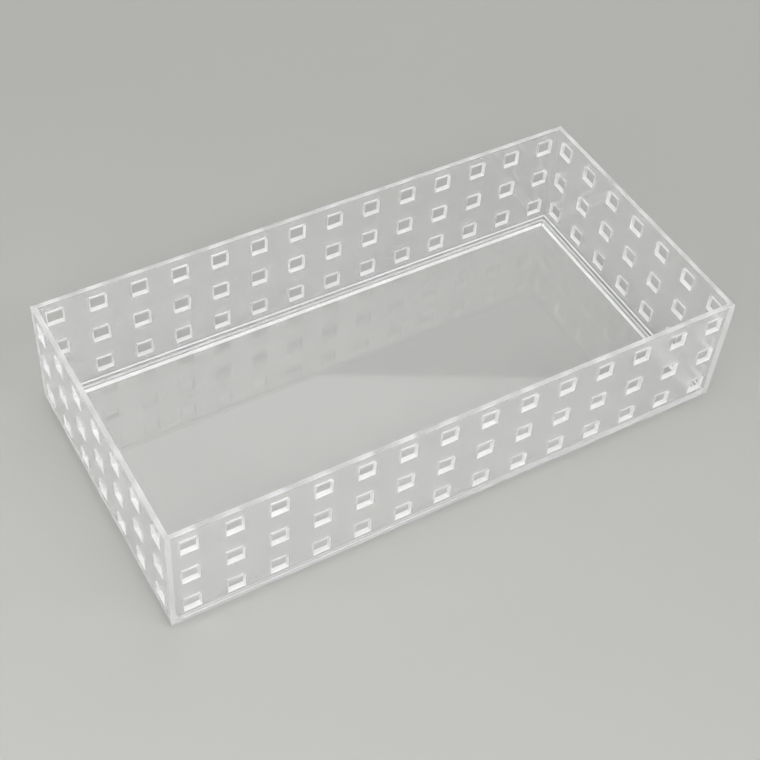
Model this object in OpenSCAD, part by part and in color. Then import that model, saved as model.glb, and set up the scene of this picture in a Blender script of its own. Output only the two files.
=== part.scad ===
// Clear stackable storage box: four perforated walls mitred at the corners, a floor panel
// bonded between them, and a foot of four strips under the floor that nests in the rim of
// the box below. +X runs along the long side, the front wall faces -Y, +Z is up, and the
// origin is at the middle of the foot's underside.

/* [Box] */
// Outside length
box_l = 340; // [200:5:450]
// Outside width
box_w = 170; // [120:5:250]
// Height of the walls, without the foot
wall_h = 73; // [50:0.5:120]
// Thickness of the walls
wall_t = 3; // [2:0.1:5]
// Thickness of the floor
floor_t = 3; // [2:0.1:5]

/* [Holes] */
// Side of each square hole
hole_side = 9; // [5:0.1:14]
// Distance between neighbouring holes, along and up the walls
hole_pitch = 24.3; // [18:0.1:32]
// Distance from the rim down to the centre of the top row
rim_to_row = 11.5; // [10:0.1:20]
// Least web left beside the outermost holes
edge_web = 6; // [4:0.1:7]
// Least web left between the lowest holes and the floor
floor_web = 4; // [2:0.1:5]

/* [Stacking foot] */
// Height of the foot below the walls
foot_h = 2.5; // [1:0.1:6]
// Width of each strip of the foot
foot_t = 2.7; // [2:0.1:8]
// Gap at each side between the foot and the rim that it nests in
foot_clearance = 1.3; // [0.3:0.1:3]

/* [Hidden] */

// Inside length and width, which the floor fills
inside_l = box_l - 2 * wall_t;
inside_w = box_w - 2 * wall_t;

// Outside length and width of the foot
foot_l = inside_l - 2 * foot_clearance;
foot_w = inside_w - 2 * foot_clearance;

// Rows of holes, counted down from the rim to the web above the floor
row_room = wall_h - rim_to_row - hole_side / 2 - floor_web - floor_t;
rows = floor(row_room / hole_pitch) + 1;

// How far a cutting block reaches past each face of a wall
cut_over = 1;

clear_plastic = [0.86, 0.87, 0.86, 0.45];

// Columns of holes that a wall of this length takes
function columns(span) = floor((span - 2 * edge_web - hole_side) / hole_pitch) + 1;

// Strip along X with mitred ends: its outer face lies at y = -depth / 2
module mitred_strip(span, depth, thick, high) {
    outer = span / 2;
    inner = outer - thick;
    linear_extrude(height = high)
        polygon([
            [-outer, -depth / 2],
            [outer, -depth / 2],
            [inner, -depth / 2 + thick],
            [-inner, -depth / 2 + thick]
        ]);
}

// Square blocks that pierce a wall along X, in centred columns and in rows below the rim
module hole_blocks(span, depth) {
    count = columns(span);
    for (column = [0 : count - 1], row = [0 : rows - 1])
        translate([
            (column - (count - 1) / 2) * hole_pitch - hole_side / 2,
            -depth / 2 - cut_over,
            wall_h - rim_to_row - row * hole_pitch - hole_side / 2
        ])
            cube([hole_side, wall_t + 2 * cut_over, hole_side]);
}

// Wall along X that stands on the foot's level, with its outer face at y = -depth / 2
module perforated_wall(span, depth) {
    translate([0, 0, foot_h])
        difference() {
            mitred_strip(span, depth, wall_t, wall_h);
            hole_blocks(span, depth);
        }
}

module front_wall() {
    color(clear_plastic) perforated_wall(box_l, box_w);
}

module back_wall() {
    color(clear_plastic) rotate([0, 0, 180]) perforated_wall(box_l, box_w);
}

module left_wall() {
    color(clear_plastic) rotate([0, 0, -90]) perforated_wall(box_w, box_l);
}

module right_wall() {
    color(clear_plastic) rotate([0, 0, 90]) perforated_wall(box_w, box_l);
}

// Floor between the walls, flush with their lower edges
module floor_panel() {
    color(clear_plastic)
        translate([-inside_l / 2, -inside_w / 2, foot_h])
            cube([inside_l, inside_w, floor_t]);
}

module front_foot_rail() {
    color(clear_plastic) mitred_strip(foot_l, foot_w, foot_t, foot_h);
}

module back_foot_rail() {
    color(clear_plastic) rotate([0, 0, 180]) mitred_strip(foot_l, foot_w, foot_t, foot_h);
}

module left_foot_rail() {
    color(clear_plastic) rotate([0, 0, -90]) mitred_strip(foot_w, foot_l, foot_t, foot_h);
}

module right_foot_rail() {
    color(clear_plastic) rotate([0, 0, 90]) mitred_strip(foot_w, foot_l, foot_t, foot_h);
}

front_wall();
back_wall();
left_wall();
right_wall();
floor_panel();
front_foot_rail();
back_foot_rail();
left_foot_rail();
right_foot_rail();
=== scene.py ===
"""Clear stackable storage box: perforated walls, a floor and a stacking foot in clear plastic,
finely frosted outside and polished inside, on a plain studio stage."""

import math

import bmesh
import bpy
from bpy.props import FloatProperty, FloatVectorProperty, IntProperty, PointerProperty
from mathutils import Matrix, Vector


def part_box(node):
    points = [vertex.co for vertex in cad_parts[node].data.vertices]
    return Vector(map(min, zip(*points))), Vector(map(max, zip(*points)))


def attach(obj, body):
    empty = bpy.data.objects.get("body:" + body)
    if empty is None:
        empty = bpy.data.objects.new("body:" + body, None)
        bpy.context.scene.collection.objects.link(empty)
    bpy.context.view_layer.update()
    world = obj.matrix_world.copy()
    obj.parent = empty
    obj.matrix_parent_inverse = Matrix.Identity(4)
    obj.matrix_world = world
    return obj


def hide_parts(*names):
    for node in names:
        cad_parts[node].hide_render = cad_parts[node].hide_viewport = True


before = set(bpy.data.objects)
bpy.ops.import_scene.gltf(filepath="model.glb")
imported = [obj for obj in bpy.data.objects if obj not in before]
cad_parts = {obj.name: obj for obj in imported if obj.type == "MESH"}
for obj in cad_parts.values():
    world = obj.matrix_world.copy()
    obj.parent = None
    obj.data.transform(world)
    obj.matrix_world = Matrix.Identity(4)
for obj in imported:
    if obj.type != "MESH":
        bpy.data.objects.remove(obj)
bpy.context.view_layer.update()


bl_info = {
    "name": "Clear stackable storage box",
    "version": (1, 0, 0),
    "blender": (4, 5, 0),
    "location": "View3D > Sidebar > Storage Box",
    "description": "Builds a clear perforated storage box and its studio stage",
    "category": "Add Mesh",
}

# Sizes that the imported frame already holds
FRONT_LOW, FRONT_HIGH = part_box("front_wall")
LEFT_LOW, LEFT_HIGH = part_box("left_wall")
FLOOR_LOW, FLOOR_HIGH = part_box("floor_panel")
RAIL_LOW, RAIL_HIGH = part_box("front_foot_rail")
SIDE_RAIL_LOW, SIDE_RAIL_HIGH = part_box("left_foot_rail")

BOX_LENGTH = FRONT_HIGH.x - FRONT_LOW.x
BOX_WIDTH = LEFT_HIGH.y - LEFT_LOW.y
WALL_THICKNESS = FRONT_HIGH.y - FRONT_LOW.y
FOOT_LENGTH = RAIL_HIGH.x - RAIL_LOW.x
FOOT_WIDTH = SIDE_RAIL_HIGH.y - SIDE_RAIL_LOW.y
FOOT_STRIP = RAIL_HIGH.y - RAIL_LOW.y
FOOT_INSET = RAIL_LOW.y - FLOOR_LOW.y

X_AXIS = Vector((1, 0, 0))
Z_AXIS = Vector((0, 0, 1))

# Quarter turns that carry a strip along X, facing -Y, to the other sides
TURNS = {"front": 0.0, "back": math.pi, "left": -math.pi / 2, "right": math.pi / 2}

# Slots of the plastic's finishes on every piece, and their materials in the same order
POLISHED, OUTER, SATIN, EDGE, MATT, JOINT, BOND = range(7)
FINISHES = (
    "polished_plastic", "outer_plastic", "satin_plastic", "edge_plastic", "matt_plastic",
    "joint_plastic", "bonded_plastic")

# Share of a normal along the axis that a face looks along
FACING = 0.9
# Share of a direction along Y when an edge runs through a strip
CROSSING = 0.5
# Angle between two faces from which their edge is rounded
SHARP = math.radians(60)
# Distance in metres at which two places count as one
SAME_PLACE = 1e-6
# Distance in metres at which a corner counts as lying on a cut
ON_CUT = 1e-7
# Distance in metres that the edges of a hole keep from the ends of a strip
END_MARGIN = 1e-4
# Flat steps round the quarter turn of the cove
COVE_STEPS = 5

# Range that holds most of a noise's values
NOISE_LOW, NOISE_HIGH = 0.3, 0.7
# Slow cloud in the plastic's colour and roughness, and the share of the tint at its deepest
CLOUD_SCALE, CLOUD_DETAIL = 45.0, 3.0
CLOUD_SHADE = 0.997
# Grain of the plastic: height in metres, detail, and scale on polished, frosted and matt faces
GRAIN_HEIGHT = 0.0001
GRAIN_DETAIL = 2.0
POLISHED_GRAIN, FROSTED_GRAIN, MATT_GRAIN = 60.0, 900.0, 1400.0
# Strength of the grain on polished faces and on the others
POLISHED_RELIEF, RELIEF = 0.02, 0.1

# Cloud in the cement of a joint
JOINT_ROUGHNESS = 0.6
JOINT_SCALE, JOINT_DETAIL = 200.0, 2.0
JOINT_PALE, JOINT_DULL = (0.96, 0.96, 0.96), (0.9, 0.9, 0.9)

# Studio floor: half its side and its depth under the foot in metres, and its finish
GROUND_REACH = 20.0
GROUND_DEPTH = 0.0002
GROUND_ROUGHNESS = 0.9
GROUND_SCALE, GROUND_DETAIL = 6.0, 2.0
GROUND_SHADE = 0.99

# Power of a soft light for each square metre, at a level of 1
PANEL_WATTS = 2.764

# Width of the camera's sensor in millimetres
SENSOR_WIDTH = 36.0


class StorageBoxSizes(bpy.types.PropertyGroup):
    """Sizes of the holes, the roundings, the cove and the foot's lean"""

    hole_side: FloatProperty(
        name="Hole side", description="Side of each square hole",
        default=0.009, unit="LENGTH")
    hole_pitch: FloatProperty(
        name="Hole pitch", description="Distance between neighbouring holes",
        default=0.0243, unit="LENGTH")
    rim_to_row: FloatProperty(
        name="Rim to row", description="From the rim down to the top row's centres",
        default=0.0115, unit="LENGTH")
    rows: IntProperty(
        name="Rows", description="Rows of holes in every wall", default=3, min=1)
    long_columns: IntProperty(
        name="Long wall columns", description="Holes along a long wall", default=14, min=1)
    end_columns: IntProperty(
        name="End wall columns", description="Holes along an end wall", default=7, min=1)
    edge_round: FloatProperty(
        name="Edge rounding",
        description="Rounding of the rim, the walls' lower edges and the foot's edges",
        default=0.00025, unit="LENGTH")
    hole_round: FloatProperty(
        name="Hole rounding", description="Rounding of the holes' edges",
        default=0.0005, unit="LENGTH")
    cove: FloatProperty(
        name="Cove", description="Radius of the hollow between the floor and the walls",
        default=0.0006, unit="LENGTH")
    foot_lean: FloatProperty(
        name="Foot lean",
        description="How far the foot's strips lean inwards towards their lower edge",
        default=0.0006, unit="LENGTH")


class StorageBoxPlastic(bpy.types.PropertyGroup):
    """Finish of the clear plastic"""

    tint: FloatVectorProperty(
        name="Tint", description="Colour of the light that passes the plastic",
        default=(0.999, 1.0, 0.9995), subtype="COLOR", min=0.0, max=1.0)
    polished: FloatProperty(
        name="Polished roughness",
        description="Roughness of the walls' inner faces, the floor and the foot's underside",
        default=0.03, min=0.0, max=1.0, subtype="FACTOR")
    outer: FloatProperty(
        name="Outer roughness", description="Roughness of the walls' frosted outer faces",
        default=0.262, min=0.0, max=1.0, subtype="FACTOR")
    outer_haze: FloatProperty(
        name="Outer haze", description="Share of light that the walls' outer faces scatter",
        default=0.11, min=0.0, max=1.0, subtype="FACTOR")
    satin: FloatProperty(
        name="Rim roughness", description="Roughness of the rim",
        default=0.38, min=0.0, max=1.0, subtype="FACTOR")
    satin_haze: FloatProperty(
        name="Rim haze", description="Share of light that the rim scatters",
        default=0.03, min=0.0, max=1.0, subtype="FACTOR")
    edge_tint: FloatVectorProperty(
        name="Edge colour",
        description="Colour of the holes' sides, the walls' undersides and the cove",
        default=(0.96, 0.96, 0.96), subtype="COLOR", min=0.0, max=1.0)
    edges: FloatProperty(
        name="Edge roughness",
        description="Roughness of the holes' sides, the walls' undersides and the cove",
        default=0.36, min=0.0, max=1.0, subtype="FACTOR")
    edge_haze: FloatProperty(
        name="Edge haze",
        description="Share of light that the holes' sides, the undersides and the cove scatter",
        default=0.48, min=0.0, max=1.0, subtype="FACTOR")
    matt: FloatProperty(
        name="Matt roughness", description="Roughness of the foot's sides",
        default=0.5, min=0.0, max=1.0, subtype="FACTOR")
    matt_haze: FloatProperty(
        name="Matt haze", description="Share of light that the foot's sides scatter",
        default=1.0, min=0.0, max=1.0, subtype="FACTOR")
    joint: FloatProperty(
        name="Joint cloud",
        description="How cloudy the cemented corners and the floor's sides are",
        default=0.5, min=0.0, max=1.0, subtype="FACTOR")
    index: FloatProperty(
        name="Refractive index", description="Refractive index of the plastic",
        default=1.58, min=1.0, max=2.0)


class StorageBoxStage(bpy.types.PropertyGroup):
    """Floor, light and camera of the studio"""

    floor_colour: FloatVectorProperty(
        name="Floor colour", description="Colour of the studio floor",
        default=(0.41, 0.41, 0.396), subtype="COLOR", min=0.0, max=1.0)
    lamp_level: FloatProperty(
        name="Lamp level", description="Brightness of the overhead soft light, where 1 is white",
        default=0.92, min=0.0)
    room_level: FloatProperty(
        name="Room level", description="Brightness of the room round the soft lights",
        default=0.62, min=0.0)
    key_level: FloatProperty(
        name="Key level", description="Brightness of the soft light in front of the box",
        default=7.6, min=0.0)
    side_level: FloatProperty(
        name="Side level", description="Brightness of the soft light at the left",
        default=3.1, min=0.0)
    rear_level: FloatProperty(
        name="Rear level",
        description="Brightness of the soft light over the floor behind the box",
        default=0.5, min=0.0)
    aim: FloatVectorProperty(
        name="Camera aim", description="Point that the camera looks at",
        default=(-0.00484, -0.00433, 0.02198), subtype="TRANSLATION", unit="LENGTH")
    azimuth: FloatProperty(
        name="Camera azimuth", description="Turn of the camera about Z, from facing +Y",
        default=math.radians(-33.418), subtype="ANGLE")
    elevation: FloatProperty(
        name="Camera elevation", description="How far the camera looks down",
        default=math.radians(48.677), subtype="ANGLE")
    roll: FloatProperty(
        name="Camera roll", description="Turn of the camera about its own axis",
        default=math.radians(4.859), subtype="ANGLE")
    distance: FloatProperty(
        name="Camera distance", description="From the camera to the point that it looks at",
        default=0.8475, unit="LENGTH")
    lens: FloatProperty(
        name="Lens", description="Focal length in millimetres", default=71.594, unit="CAMERA")


def cut_across(bm, axis, places):
    """Cuts a sheet straight across at each place along an axis."""
    for place in places:
        bmesh.ops.bisect_plane(
            bm, geom=bm.verts[:] + bm.edges[:] + bm.faces[:], dist=ON_CUT,
            plane_co=axis * place, plane_no=axis)


def standing_sheet(span, depth, low, high):
    """One upright sheet along X, facing -Y at half the depth."""
    upright = Matrix.Rotation(math.pi / 2, 3, "X")
    bm = bmesh.new()
    bmesh.ops.create_grid(bm, x_segments=1, y_segments=1, size=0.5)
    bmesh.ops.scale(bm, verts=bm.verts, vec=(span, high - low, 1))
    bmesh.ops.rotate(bm, verts=bm.verts, cent=(0, 0, 0), matrix=upright)
    bmesh.ops.translate(bm, verts=bm.verts, vec=(0, -depth / 2, (low + high) / 2))
    return bm


def thicken_and_mitre(bm, span, depth, thickness):
    """Gives a standing sheet its thickness inwards and cuts its ends at 45 degrees."""
    bmesh.ops.solidify(bm, geom=bm.faces[:], thickness=thickness)
    front = -depth / 2
    for vert in bm.verts:
        inner = abs(vert.co.y - front) > thickness / 2
        vert.co.y = front + thickness if inner else front
    for side in (-1, 1):
        ends = [
            vert for vert in bm.verts
            if vert.co.y > front + thickness / 2
            and abs(vert.co.x - side * span / 2) < SAME_PLACE
        ]
        bmesh.ops.translate(bm, verts=ends, vec=(-side * thickness, 0, 0))
    bmesh.ops.recalc_face_normals(bm, faces=bm.faces[:])


def is_mitre(face):
    """True for a face that looks neither along X, Y nor Z."""
    return max(abs(value) for value in face.normal) < FACING


def round_edges(bm, radius, wanted, finish=None):
    """Rounds the sharp edges that wanted() accepts, away from the bonded faces."""
    edges = [
        edge for edge in bm.edges
        if len(edge.link_faces) == 2
        and edge.calc_face_angle() > SHARP
        and not {JOINT, BOND} & {face.material_index for face in edge.link_faces}
        and wanted(edge)
    ]
    made = bmesh.ops.bevel(
        bm, geom=edges, offset=radius, offset_type="OFFSET", affect="EDGES",
        segments=2, profile=0.5, material=-1, clamp_overlap=True)
    if finish is not None:
        for face in made["faces"]:
            face.material_index = finish


def runs_through(edge):
    """True for an edge that runs through the thickness of a strip."""
    along = (edge.verts[1].co - edge.verts[0].co).normalized()
    return abs(along.y) > CROSSING


def lies_between(edge, low, high):
    """True for an edge of a face, clear of the strip's lower and upper ends."""
    clear = all(
        low + END_MARGIN < vert.co.z < high - END_MARGIN for vert in edge.verts)
    return clear and not runs_through(edge)


def hole_spans(middles, side):
    """Start and end of the hole round each middle."""
    return [(middle - side / 2, middle + side / 2) for middle in middles]


def is_inside(place, spans):
    """True for a place inside one of the spans."""
    return any(start < place < end for start, end in spans)


def wall_finish(face, floor_line):
    """Slot of a wall's face, before the wall's edges are rounded."""
    height = face.calc_center_median().z
    if is_mitre(face):
        return JOINT
    if face.normal.z > FACING and height > FRONT_HIGH.z - SAME_PLACE:
        return SATIN
    if face.normal.y < -FACING:
        return OUTER
    if face.normal.y > FACING:
        return BOND if height < floor_line else POLISHED
    return EDGE


def wall_mesh(span, depth, columns):
    """A perforated wall along X that faces -Y."""
    sizes = bpy.context.scene.storage_box_sizes
    low, high = FRONT_LOW.z, FRONT_HIGH.z
    across = hole_spans(
        [(column - (columns - 1) / 2) * sizes.hole_pitch for column in range(columns)],
        sizes.hole_side)
    up = hole_spans(
        [high - sizes.rim_to_row - row * sizes.hole_pitch for row in range(sizes.rows)],
        sizes.hole_side)
    floor_line = FLOOR_HIGH.z + sizes.cove
    bm = standing_sheet(span, depth, low, high)
    cut_across(bm, X_AXIS, [place for pair in across for place in pair])
    cut_across(bm, Z_AXIS, [place for pair in up for place in pair] + [floor_line])
    pierced = []
    for face in bm.faces:
        middle = face.calc_center_median()
        if is_inside(middle.x, across) and is_inside(middle.z, up):
            pierced.append(face)
    bmesh.ops.delete(bm, geom=pierced, context="FACES")
    thicken_and_mitre(bm, span, depth, WALL_THICKNESS)
    for face in bm.faces:
        face.material_index = wall_finish(face, floor_line)
    round_edges(bm, sizes.hole_round, lambda edge: lies_between(edge, low, high), EDGE)
    round_edges(
        bm, sizes.edge_round,
        lambda edge: not runs_through(edge) and not lies_between(edge, low, high))
    return bm


def rail_mesh(span, depth):
    """One strip of the foot along X, on the side that faces -Y."""
    sizes = bpy.context.scene.storage_box_sizes
    bm = standing_sheet(span, depth, RAIL_LOW.z, RAIL_HIGH.z)
    thicken_and_mitre(bm, span, depth, FOOT_STRIP)
    # The lower edge moves inwards by half the lean, and the upper edge outwards
    middle = (RAIL_LOW.z + RAIL_HIGH.z) / 2
    for vert in bm.verts:
        lean = sizes.foot_lean / 2 * (1 if vert.co.z < middle else -1)
        vert.co.x -= math.copysign(lean, vert.co.x)
        vert.co.y += lean
    for face in bm.faces:
        if is_mitre(face) or face.normal.z > FACING:
            face.material_index = BOND
        else:
            face.material_index = POLISHED if face.normal.z < -FACING else MATT
    round_edges(bm, sizes.edge_round, lambda edge: True)
    return bm


def inset(bm, face, thickness):
    """Sets a face in by an even border, and gives the faces of the border."""
    made = bmesh.ops.inset_region(
        bm, faces=[face], thickness=thickness, use_boundary=True, use_even_offset=True)
    return made["faces"]


def floor_mesh():
    """The floor with a small cove up to the walls and the foot's landing under it."""
    sizes = bpy.context.scene.storage_box_sizes
    # The block reaches up to the cove's top, and the cove's steps lower it to the floor
    size = FLOOR_HIGH - FLOOR_LOW
    size.z += sizes.cove
    middle = (FLOOR_HIGH + FLOOR_LOW) / 2
    middle.z += sizes.cove / 2
    bm = bmesh.new()
    bmesh.ops.create_cube(bm, size=1)
    bmesh.ops.scale(bm, verts=bm.verts, vec=size)
    bmesh.ops.translate(bm, verts=bm.verts, vec=middle)
    for face in bm.faces:
        face.material_index = POLISHED if abs(face.normal.z) > FACING else JOINT
    top = max(bm.faces, key=lambda face: face.normal.z)
    under = min(bm.faces, key=lambda face: face.normal.z)
    for step in range(COVE_STEPS):
        start, end = (math.pi / 2 * (step + more) / COVE_STEPS for more in (0, 1))
        inwards = sizes.cove * (math.cos(start) - math.cos(end))
        downwards = sizes.cove * (math.sin(end) - math.sin(start))
        for face in inset(bm, top, inwards):
            face.material_index = EDGE
        bmesh.ops.translate(bm, verts=top.verts, vec=(0, 0, -downwards))
    inset(bm, under, FOOT_INSET - sizes.foot_lean / 2)
    for face in inset(bm, under, FOOT_STRIP):
        face.material_index = BOND
    return bm


def turned(bm, side):
    """Turns a mesh made for the front to another side of the box."""
    bmesh.ops.rotate(
        bm, verts=bm.verts, cent=(0, 0, 0), matrix=Matrix.Rotation(TURNS[side], 3, "Z"))
    return bm


def add_mesh(bm, name, materials):
    """Makes an object from a mesh and its materials."""
    mesh = bpy.data.meshes.new(name)
    bm.to_mesh(mesh)
    bm.free()
    for material in materials:
        mesh.materials.append(material)
    made = bpy.data.objects.new(name, mesh)
    bpy.context.scene.collection.objects.link(made)
    return made


def add_piece(bm, node):
    """Makes a finished piece from a mesh and sets it in the frame in place of its node."""
    piece = add_mesh(bm, f"clear_{node}", plastic_finishes())
    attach(piece, "root")
    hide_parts(node)


def fresh_material(name):
    """An empty node material."""
    material = bpy.data.materials.new(name)
    material.use_nodes = True
    material.node_tree.nodes.clear()
    return material


def shaded_material(name):
    """A node material with one shader, and that shader."""
    material = fresh_material(name)
    tree = material.node_tree
    shader = tree.nodes.new("ShaderNodeBsdfPrincipled")
    output = tree.nodes.new("ShaderNodeOutputMaterial")
    tree.links.new(shader.outputs["BSDF"], output.inputs["Surface"])
    return material, shader


def noise(tree, scale, detail):
    """A noise on the object's own coordinates."""
    coords = tree.nodes.new("ShaderNodeTexCoord")
    node = tree.nodes.new("ShaderNodeTexNoise")
    node.inputs["Scale"].default_value = scale
    node.inputs["Detail"].default_value = detail
    tree.links.new(coords.outputs["Object"], node.inputs["Vector"])
    return node.outputs["Fac"]


def spread(tree, source, low, high):
    """Maps a noise's middle range to the range from low to high."""
    node = tree.nodes.new("ShaderNodeMapRange")
    node.inputs["From Min"].default_value = NOISE_LOW
    node.inputs["From Max"].default_value = NOISE_HIGH
    node.inputs["To Min"].default_value = low
    node.inputs["To Max"].default_value = high
    tree.links.new(source, node.inputs["Value"])
    return node.outputs["Result"]


def blend_colours(tree, factor, first, second):
    """Mixes two colours by a noise."""
    node = tree.nodes.new("ShaderNodeMix")
    node.data_type = "RGBA"
    node.inputs["A"].default_value = (*first, 1)
    node.inputs["B"].default_value = (*second, 1)
    tree.links.new(factor, node.inputs["Factor"])
    return node.outputs["Result"]


def clear_plastic(name, tint, roughness, vary, haze, grain, relief):
    """Clear plastic with a cloudy roughness and a fine surface grain."""
    material, shader = shaded_material(name)
    tree = material.node_tree
    shader.inputs["Transmission Weight"].default_value = 1.0 - haze
    shader.inputs["IOR"].default_value = bpy.context.scene.storage_box_plastic.index
    cloud = noise(tree, CLOUD_SCALE, CLOUD_DETAIL)
    deeper = [value * CLOUD_SHADE for value in tint]
    tree.links.new(blend_colours(tree, cloud, tint, deeper), shader.inputs["Base Color"])
    tree.links.new(
        spread(tree, cloud, roughness - vary, roughness + vary), shader.inputs["Roughness"])
    bump = tree.nodes.new("ShaderNodeBump")
    bump.inputs["Strength"].default_value = relief
    bump.inputs["Distance"].default_value = GRAIN_HEIGHT
    tree.links.new(noise(tree, grain, GRAIN_DETAIL), bump.inputs["Height"])
    tree.links.new(bump.outputs["Normal"], shader.inputs["Normal"])


def joint_line(name):
    """A cemented joint that shows as a faint cloudy line."""
    material, shader = shaded_material(name)
    tree = material.node_tree
    shader.inputs["Alpha"].default_value = bpy.context.scene.storage_box_plastic.joint
    shader.inputs["Roughness"].default_value = JOINT_ROUGHNESS
    cloud = noise(tree, JOINT_SCALE, JOINT_DETAIL)
    tree.links.new(
        blend_colours(tree, cloud, JOINT_PALE, JOINT_DULL), shader.inputs["Base Color"])


def bonded_face(name):
    """A joint that light passes straight through, where two pieces are bonded."""
    tree = fresh_material(name).node_tree
    shader = tree.nodes.new("ShaderNodeBsdfTransparent")
    output = tree.nodes.new("ShaderNodeOutputMaterial")
    tree.links.new(shader.outputs["BSDF"], output.inputs["Surface"])


def make_finishes():
    """Makes the materials of the plastic's finishes."""
    plastic = bpy.context.scene.storage_box_plastic
    # No roughness varies across 0.274, where cracks show in a denoised picture
    clear_plastic(
        "polished_plastic", plastic.tint, roughness=plastic.polished, vary=0.01,
        haze=0.0, grain=POLISHED_GRAIN, relief=POLISHED_RELIEF)
    clear_plastic(
        "outer_plastic", plastic.tint, roughness=plastic.outer, vary=0.008,
        haze=plastic.outer_haze, grain=FROSTED_GRAIN, relief=RELIEF)
    clear_plastic(
        "satin_plastic", plastic.tint, roughness=plastic.satin, vary=0.03,
        haze=plastic.satin_haze, grain=MATT_GRAIN, relief=RELIEF)
    clear_plastic(
        "edge_plastic", plastic.edge_tint, roughness=plastic.edges, vary=0.04,
        haze=plastic.edge_haze, grain=MATT_GRAIN, relief=RELIEF)
    clear_plastic(
        "matt_plastic", plastic.tint, roughness=plastic.matt, vary=0.04,
        haze=plastic.matt_haze, grain=MATT_GRAIN, relief=RELIEF)
    joint_line("joint_plastic")
    bonded_face("bonded_plastic")


def plastic_finishes():
    """The finishes of the plastic, in the order of their slots, made once."""
    if FINISHES[POLISHED] not in bpy.data.materials:
        make_finishes()
    return [bpy.data.materials[name] for name in FINISHES]


class STORAGEBOX_OT_long_walls(bpy.types.Operator):
    """Build the two long walls"""

    bl_idname = "storage_box.long_walls"
    bl_label = "Long walls"

    def execute(self, context):
        columns = context.scene.storage_box_sizes.long_columns
        for side in ("front", "back"):
            bm = turned(wall_mesh(BOX_LENGTH, BOX_WIDTH, columns), side)
            add_piece(bm, f"{side}_wall")
        return {"FINISHED"}


class STORAGEBOX_OT_end_walls(bpy.types.Operator):
    """Build the two end walls"""

    bl_idname = "storage_box.end_walls"
    bl_label = "End walls"

    def execute(self, context):
        columns = context.scene.storage_box_sizes.end_columns
        for side in ("left", "right"):
            bm = turned(wall_mesh(BOX_WIDTH, BOX_LENGTH, columns), side)
            add_piece(bm, f"{side}_wall")
        return {"FINISHED"}


class STORAGEBOX_OT_floor_panel(bpy.types.Operator):
    """Build the floor panel"""

    bl_idname = "storage_box.floor_panel"
    bl_label = "Floor panel"

    def execute(self, context):
        add_piece(floor_mesh(), "floor_panel")
        return {"FINISHED"}


class STORAGEBOX_OT_foot_rails(bpy.types.Operator):
    """Build the four strips of the stacking foot"""

    bl_idname = "storage_box.foot_rails"
    bl_label = "Foot rails"

    def execute(self, context):
        for side in TURNS:
            along_x = side in ("front", "back")
            span, depth = (
                (FOOT_LENGTH, FOOT_WIDTH) if along_x else (FOOT_WIDTH, FOOT_LENGTH))
            bm = turned(rail_mesh(span, depth), side)
            add_piece(bm, f"{side}_foot_rail")
        return {"FINISHED"}


def add_camera(stage):
    """The camera at the photograph's viewing angle."""
    data = bpy.data.cameras.new("studio_camera")
    data.sensor_width = SENSOR_WIDTH
    data.lens = stage.lens
    camera = bpy.data.objects.new("studio_camera", data)
    turn = (
        Matrix.Rotation(stage.azimuth, 4, "Z")
        @ Matrix.Rotation(math.pi / 2 - stage.elevation, 4, "X")
        @ Matrix.Rotation(stage.roll, 4, "Z")
    )
    away = Matrix.Translation((0, 0, stage.distance))
    camera.matrix_world = Matrix.Translation(stage.aim) @ turn @ away
    bpy.context.scene.collection.objects.link(camera)
    bpy.context.scene.camera = camera


def add_floor(stage):
    """The plain pale floor that the box stands on."""
    bm = bmesh.new()
    bmesh.ops.create_grid(bm, x_segments=1, y_segments=1, size=GROUND_REACH)
    bmesh.ops.translate(bm, verts=bm.verts, vec=(0, 0, -GROUND_DEPTH))
    material, shader = shaded_material("studio_floor")
    tree = material.node_tree
    shader.inputs["Roughness"].default_value = GROUND_ROUGHNESS
    shader.inputs["Specular IOR Level"].default_value = 0.0
    cloud = noise(tree, GROUND_SCALE, GROUND_DETAIL)
    deeper = [value * GROUND_SHADE for value in stage.floor_colour]
    tree.links.new(
        blend_colours(tree, cloud, stage.floor_colour, deeper), shader.inputs["Base Color"])
    floor = add_mesh(bm, "studio_floor", [material])


def add_panel(name, wide, deep, level, place):
    """A flat soft light that shines along its own -Z, at a brightness where 1 is white."""
    data = bpy.data.lights.new(name, "AREA")
    data.shape = "RECTANGLE"
    data.size = wide
    data.size_y = deep
    data.energy = PANEL_WATTS * wide * deep * level
    lamp = bpy.data.objects.new(name, data)
    lamp.matrix_world = place
    bpy.context.scene.collection.objects.link(lamp)
    return data


def fade_edges(data):
    """Lets a soft light fade from its middle to its edges, as a diffuser does."""
    data.use_nodes = True
    tree = data.node_tree
    place = tree.nodes.new("ShaderNodeNewGeometry")
    # The panel's own coordinates run from 0 to 1, and the gradient fades outwards from 0
    centred = tree.nodes.new("ShaderNodeMapping")
    centred.inputs["Location"].default_value = (-1, -1, 0)
    centred.inputs["Scale"].default_value = (2, 2, 1)
    fade = tree.nodes.new("ShaderNodeTexGradient")
    fade.gradient_type = "SPHERICAL"
    level = tree.nodes.new("ShaderNodeMapRange")
    level.interpolation_type = "SMOOTHSTEP"
    tree.links.new(place.outputs["Parametric"], centred.inputs["Vector"])
    tree.links.new(centred.outputs["Vector"], fade.inputs["Vector"])
    tree.links.new(fade.outputs["Fac"], level.inputs["Value"])
    tree.links.new(level.outputs["Result"], tree.nodes["Emission"].inputs["Strength"])


def facing_box(turn, distance, height):
    """The place of a panel that stands round the box and shines on it."""
    return (
        Matrix.Rotation(turn, 4, "Z")
        @ Matrix.Translation((0, -distance, height))
        @ Matrix.Rotation(math.atan2(distance, height), 4, "X"))


def facing_down(turn, distance, height):
    """The place of a panel that hangs level, behind the middle of the box."""
    return Matrix.Rotation(turn, 4, "Z") @ Matrix.Translation((0, distance, height))


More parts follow.
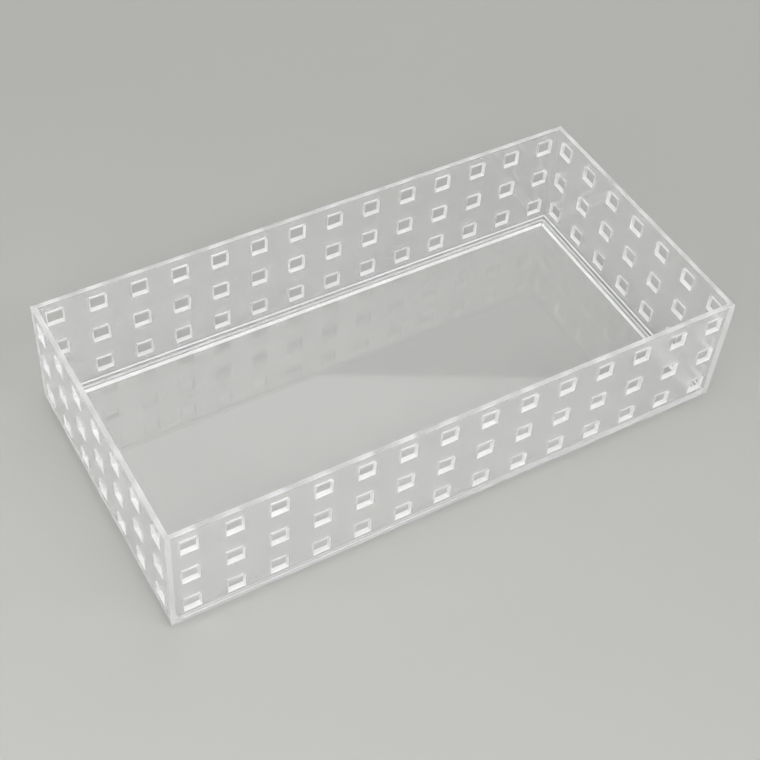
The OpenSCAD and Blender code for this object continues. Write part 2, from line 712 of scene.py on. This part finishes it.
def add_soft_light(stage):
    """Soft lights over the box, in front of it, at its left and behind it."""
    add_panel(
        "overhead_soft_light", wide=1.8, deep=0.7, level=stage.lamp_level,
        place=facing_down(turn=math.radians(-28), distance=0.802, height=1.3))
    key = add_panel(
        "key_soft_light", wide=1.6, deep=0.4, level=stage.key_level,
        place=facing_box(turn=math.radians(4), distance=0.55, height=0.7))
    fade_edges(key)
    add_panel(
        "side_soft_light", wide=1.2, deep=0.6, level=stage.side_level,
        place=facing_box(turn=math.radians(-70), distance=0.9, height=0.5))
    add_panel(
        "rear_soft_light", wide=1.4, deep=0.4, level=stage.rear_level,
        place=facing_down(turn=math.radians(-33), distance=0.7, height=0.35))


def add_room(stage):
    """The pale room round the lights."""
    world = bpy.data.worlds.new("studio_room")
    world.use_nodes = True
    background = world.node_tree.nodes["Background"]
    background.inputs["Color"].default_value = (1, 1, 1, 1)
    background.inputs["Strength"].default_value = stage.room_level
    bpy.context.scene.world = world


class STORAGEBOX_OT_stage(bpy.types.Operator):
    """Build the camera, the floor and the light"""

    bl_idname = "storage_box.stage"
    bl_label = "Studio stage"

    def execute(self, context):
        scene = context.scene
        stage = scene.storage_box_stage
        add_camera(stage)
        add_floor(stage)
        add_soft_light(stage)
        add_room(stage)
        scene.view_settings.view_transform = "Standard"
        # Light meets many faces on its way through the walls
        scene.cycles.max_bounces = 64
        scene.cycles.diffuse_bounces = 16
        scene.cycles.glossy_bounces = 48
        scene.cycles.transmission_bounces = 48
        scene.cycles.transparent_max_bounces = 32
        scene.cycles.blur_glossy = 0.0
        return {"FINISHED"}


OPERATORS = (
    STORAGEBOX_OT_stage,
    STORAGEBOX_OT_long_walls,
    STORAGEBOX_OT_end_walls,
    STORAGEBOX_OT_floor_panel,
    STORAGEBOX_OT_foot_rails,
)

# Groups of settings by their names on the scene
GROUPS = {
    "storage_box_sizes": StorageBoxSizes,
    "storage_box_plastic": StorageBoxPlastic,
    "storage_box_stage": StorageBoxStage,
}


class STORAGEBOX_PT_sidebar(bpy.types.Panel):
    """Lists the steps and the settings of the storage box"""

    bl_idname = "STORAGEBOX_PT_sidebar"
    bl_label = "Storage Box"
    bl_space_type = "VIEW_3D"
    bl_region_type = "UI"
    bl_category = "Storage Box"

    def draw(self, context):
        for operator in OPERATORS:
            self.layout.operator(operator.bl_idname)
        for group_name in GROUPS:
            group = getattr(context.scene, group_name)
            column = self.layout.column(align=True)
            for name in group.bl_rna.properties.keys():
                if name not in ("rna_type", "name"):
                    column.prop(group, name)


def register():
    """Adds the settings, the operators and the panel."""
    for name, group in GROUPS.items():
        bpy.utils.register_class(group)
        setattr(bpy.types.Scene, name, PointerProperty(type=group))
    for operator in OPERATORS:
        bpy.utils.register_class(operator)
    bpy.utils.register_class(STORAGEBOX_PT_sidebar)


def unregister():
    """Takes the panel, the operators and the settings away again."""
    bpy.utils.unregister_class(STORAGEBOX_PT_sidebar)
    for operator in reversed(OPERATORS):
        bpy.utils.unregister_class(operator)
    for name, group in GROUPS.items():
        delattr(bpy.types.Scene, name)
        bpy.utils.unregister_class(group)


def main():
    """Builds the stage and the pieces."""
    register()
    bpy.ops.storage_box.stage()
    bpy.ops.storage_box.long_walls()
    bpy.ops.storage_box.end_walls()
    bpy.ops.storage_box.floor_panel()
    bpy.ops.storage_box.foot_rails()


if __name__ == "__main__":
    main()
